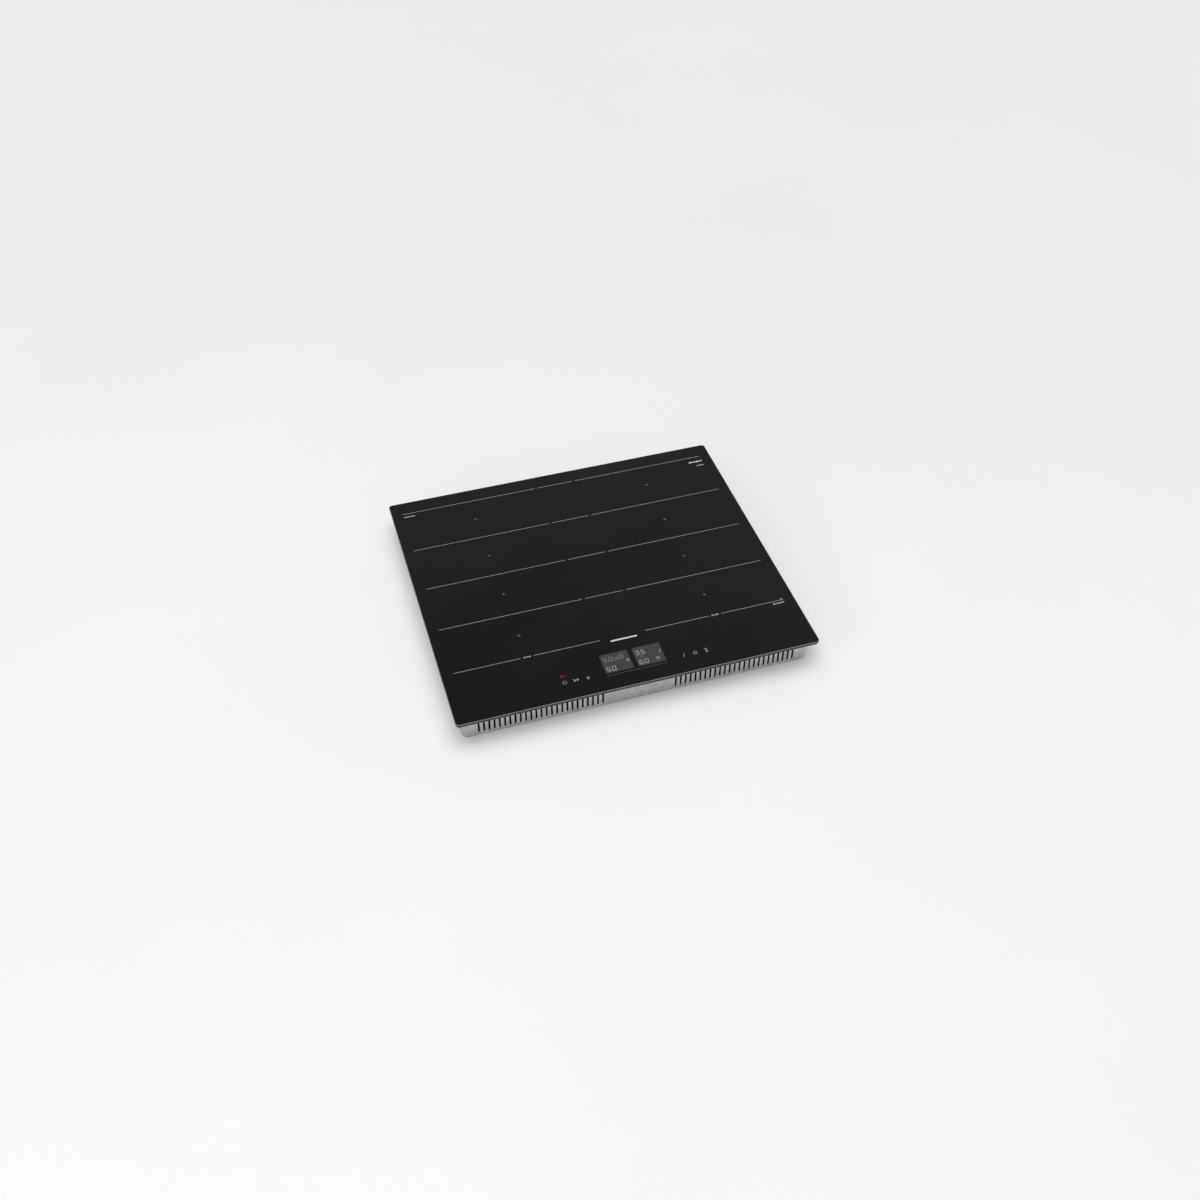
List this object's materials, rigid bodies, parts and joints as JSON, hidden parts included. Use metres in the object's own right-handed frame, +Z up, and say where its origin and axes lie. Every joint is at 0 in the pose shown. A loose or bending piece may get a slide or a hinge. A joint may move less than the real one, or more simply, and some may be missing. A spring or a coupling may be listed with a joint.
{
  "type": "electric induction cooktop",
  "caption": "Built-in induction cooktop: flush black glass-ceramic plate with printed oval zones and touch controls over a sheet-steel tray with coils, boards and blowers.",
  "frame": {"origin": "middle of the underside of the tray, below the middle of the glass", "axes": "+X to the user's right along the front edge, +Y towards the back wall, +Z up out of the glass"},
  "size_m": [0.572, 0.512, 0.051],
  "materials": {
    "black_glass_ceramic": "gloss",
    "foam_seal": "matte",
    "silicone": "satin",
    "galvanised_steel": "satin",
    "zinc_screw": "satin",
    "spring_steel": "satin",
    "black_plastic": "matte",
    "former_plastic": "matte",
    "white_plastic": "matte",
    "circuit_board": "satin",
    "aluminium": "satin",
    "copper_litz": "satin",
    "ferrite": "matte",
    "fibre_mat": "matte",
    "component_plastic": "satin",
    "motor_core": "satin",
    "display_plastic": "gloss",
    "conductive_foam": "matte"
  },
  "bodies": {
    "housing": {"glass_top": "black_glass_ceramic", "rim_seal": "foam_seal", "glue_bead": "silicone", "support_frame": "galvanised_steel", "frame_screws": "zinc_screw", "housing_tray": "galvanised_steel", "filter_board": "circuit_board", "filter_parts": "component_plastic", "terminal_box": "black_plastic", "terminal_block": "white_plastic", "terminal_screws": "zinc_screw", "cable_clamp": "black_plastic", "clamp_screws": "zinc_screw", "control_carrier": "black_plastic", "control_board": "circuit_board", "display_left": "display_plastic", "display_right": "display_plastic", "touch_springs": "conductive_foam", "lamp_guides": "white_plastic", "clip_brackets": "galvanised_steel", "clip_pins": "zinc_screw", "board_carrier_left": "black_plastic", "power_board_left": "circuit_board", "heatsink_left": "aluminium", "power_parts_left": "component_plastic", "blower_housing_left": "black_plastic", "blower_motor_left": "motor_core", "plate_springs_left": "spring_steel", "board_carrier_right": "black_plastic", "power_board_right": "circuit_board", "heatsink_right": "aluminium", "power_parts_right": "component_plastic", "blower_housing_right": "black_plastic", "blower_motor_right": "motor_core", "plate_springs_right": "spring_steel"},
    "terminal_cover": {"terminal_cover": "black_plastic"},
    "impeller_left": {"impeller_left": "black_plastic"},
    "inductor_left": {"inductor_plate_left": "aluminium", "ferrite_bars_left": "ferrite", "coil_formers_left": "former_plastic", "coil_left_1": "copper_litz", "coil_left_2": "copper_litz", "coil_left_3": "copper_litz", "coil_left_4": "copper_litz", "glass_sensors_left": "white_plastic", "insulation_mat_left": "fibre_mat"},
    "side_clip_left_front": {"side_clip_left_front": "spring_steel"},
    "side_clip_left_back": {"side_clip_left_back": "spring_steel"},
    "impeller_right": {"impeller_right": "black_plastic"},
    "inductor_right": {"inductor_plate_right": "aluminium", "ferrite_bars_right": "ferrite", "coil_formers_right": "former_plastic", "coil_right_1": "copper_litz", "coil_right_2": "copper_litz", "coil_right_3": "copper_litz", "coil_right_4": "copper_litz", "glass_sensors_right": "white_plastic", "insulation_mat_right": "fibre_mat"},
    "side_clip_right_front": {"side_clip_right_front": "spring_steel"},
    "side_clip_right_back": {"side_clip_right_back": "spring_steel"}
  },
  "joints": [
    {"name": "impeller_left_spin", "type": "hinge", "parent": "housing", "child": "impeller_left", "pos_m": [-0.133, 0.172, 0.016], "axis": [0, 0, 1], "continuous": true},
    {"name": "inductor_left_float", "type": "slide", "parent": "housing", "child": "inductor_left", "axis": [0, 0, 1], "range_m": [-0.0025, 0], "stiffness_N_per_m": 9000, "springref_m": 0.006, "deforming": ["plate_springs_left"]},
    {"name": "impeller_right_spin", "type": "hinge", "parent": "housing", "child": "impeller_right", "pos_m": [0.171, 0.172, 0.016], "axis": [0, 0, 1], "continuous": true},
    {"name": "inductor_right_float", "type": "slide", "parent": "housing", "child": "inductor_right", "axis": [0, 0, 1], "range_m": [-0.0025, 0], "stiffness_N_per_m": 9000, "springref_m": 0.006, "deforming": ["plate_springs_right"]},
    {"name": "side_clip_left_front_flex", "type": "hinge", "parent": "housing", "child": "side_clip_left_front", "pos_m": [-0.2777, -0.12, 0.028], "axis": [0, -1, 0], "range_deg": [0, 12], "stiffness_Nm_per_rad": 1},
    {"name": "side_clip_left_back_flex", "type": "hinge", "parent": "housing", "child": "side_clip_left_back", "pos_m": [-0.2777, 0.12, 0.028], "axis": [0, -1, 0], "range_deg": [0, 12], "stiffness_Nm_per_rad": 1},
    {"name": "side_clip_right_front_flex", "type": "hinge", "parent": "housing", "child": "side_clip_right_front", "pos_m": [0.2777, -0.12, 0.028], "axis": [0, 1, 0], "range_deg": [0, 12], "stiffness_Nm_per_rad": 1},
    {"name": "side_clip_right_back_flex", "type": "hinge", "parent": "housing", "child": "side_clip_right_back", "pos_m": [0.2777, 0.12, 0.028], "axis": [0, 1, 0], "range_deg": [0, 12], "stiffness_Nm_per_rad": 1},
    {"name": "terminal_cover_hinge", "type": "hinge", "parent": "housing", "child": "terminal_cover", "pos_m": [-0.01, 0.2405, 0.0065], "axis": [-1, 0, 0], "range_deg": [0, 90]}
  ]
}
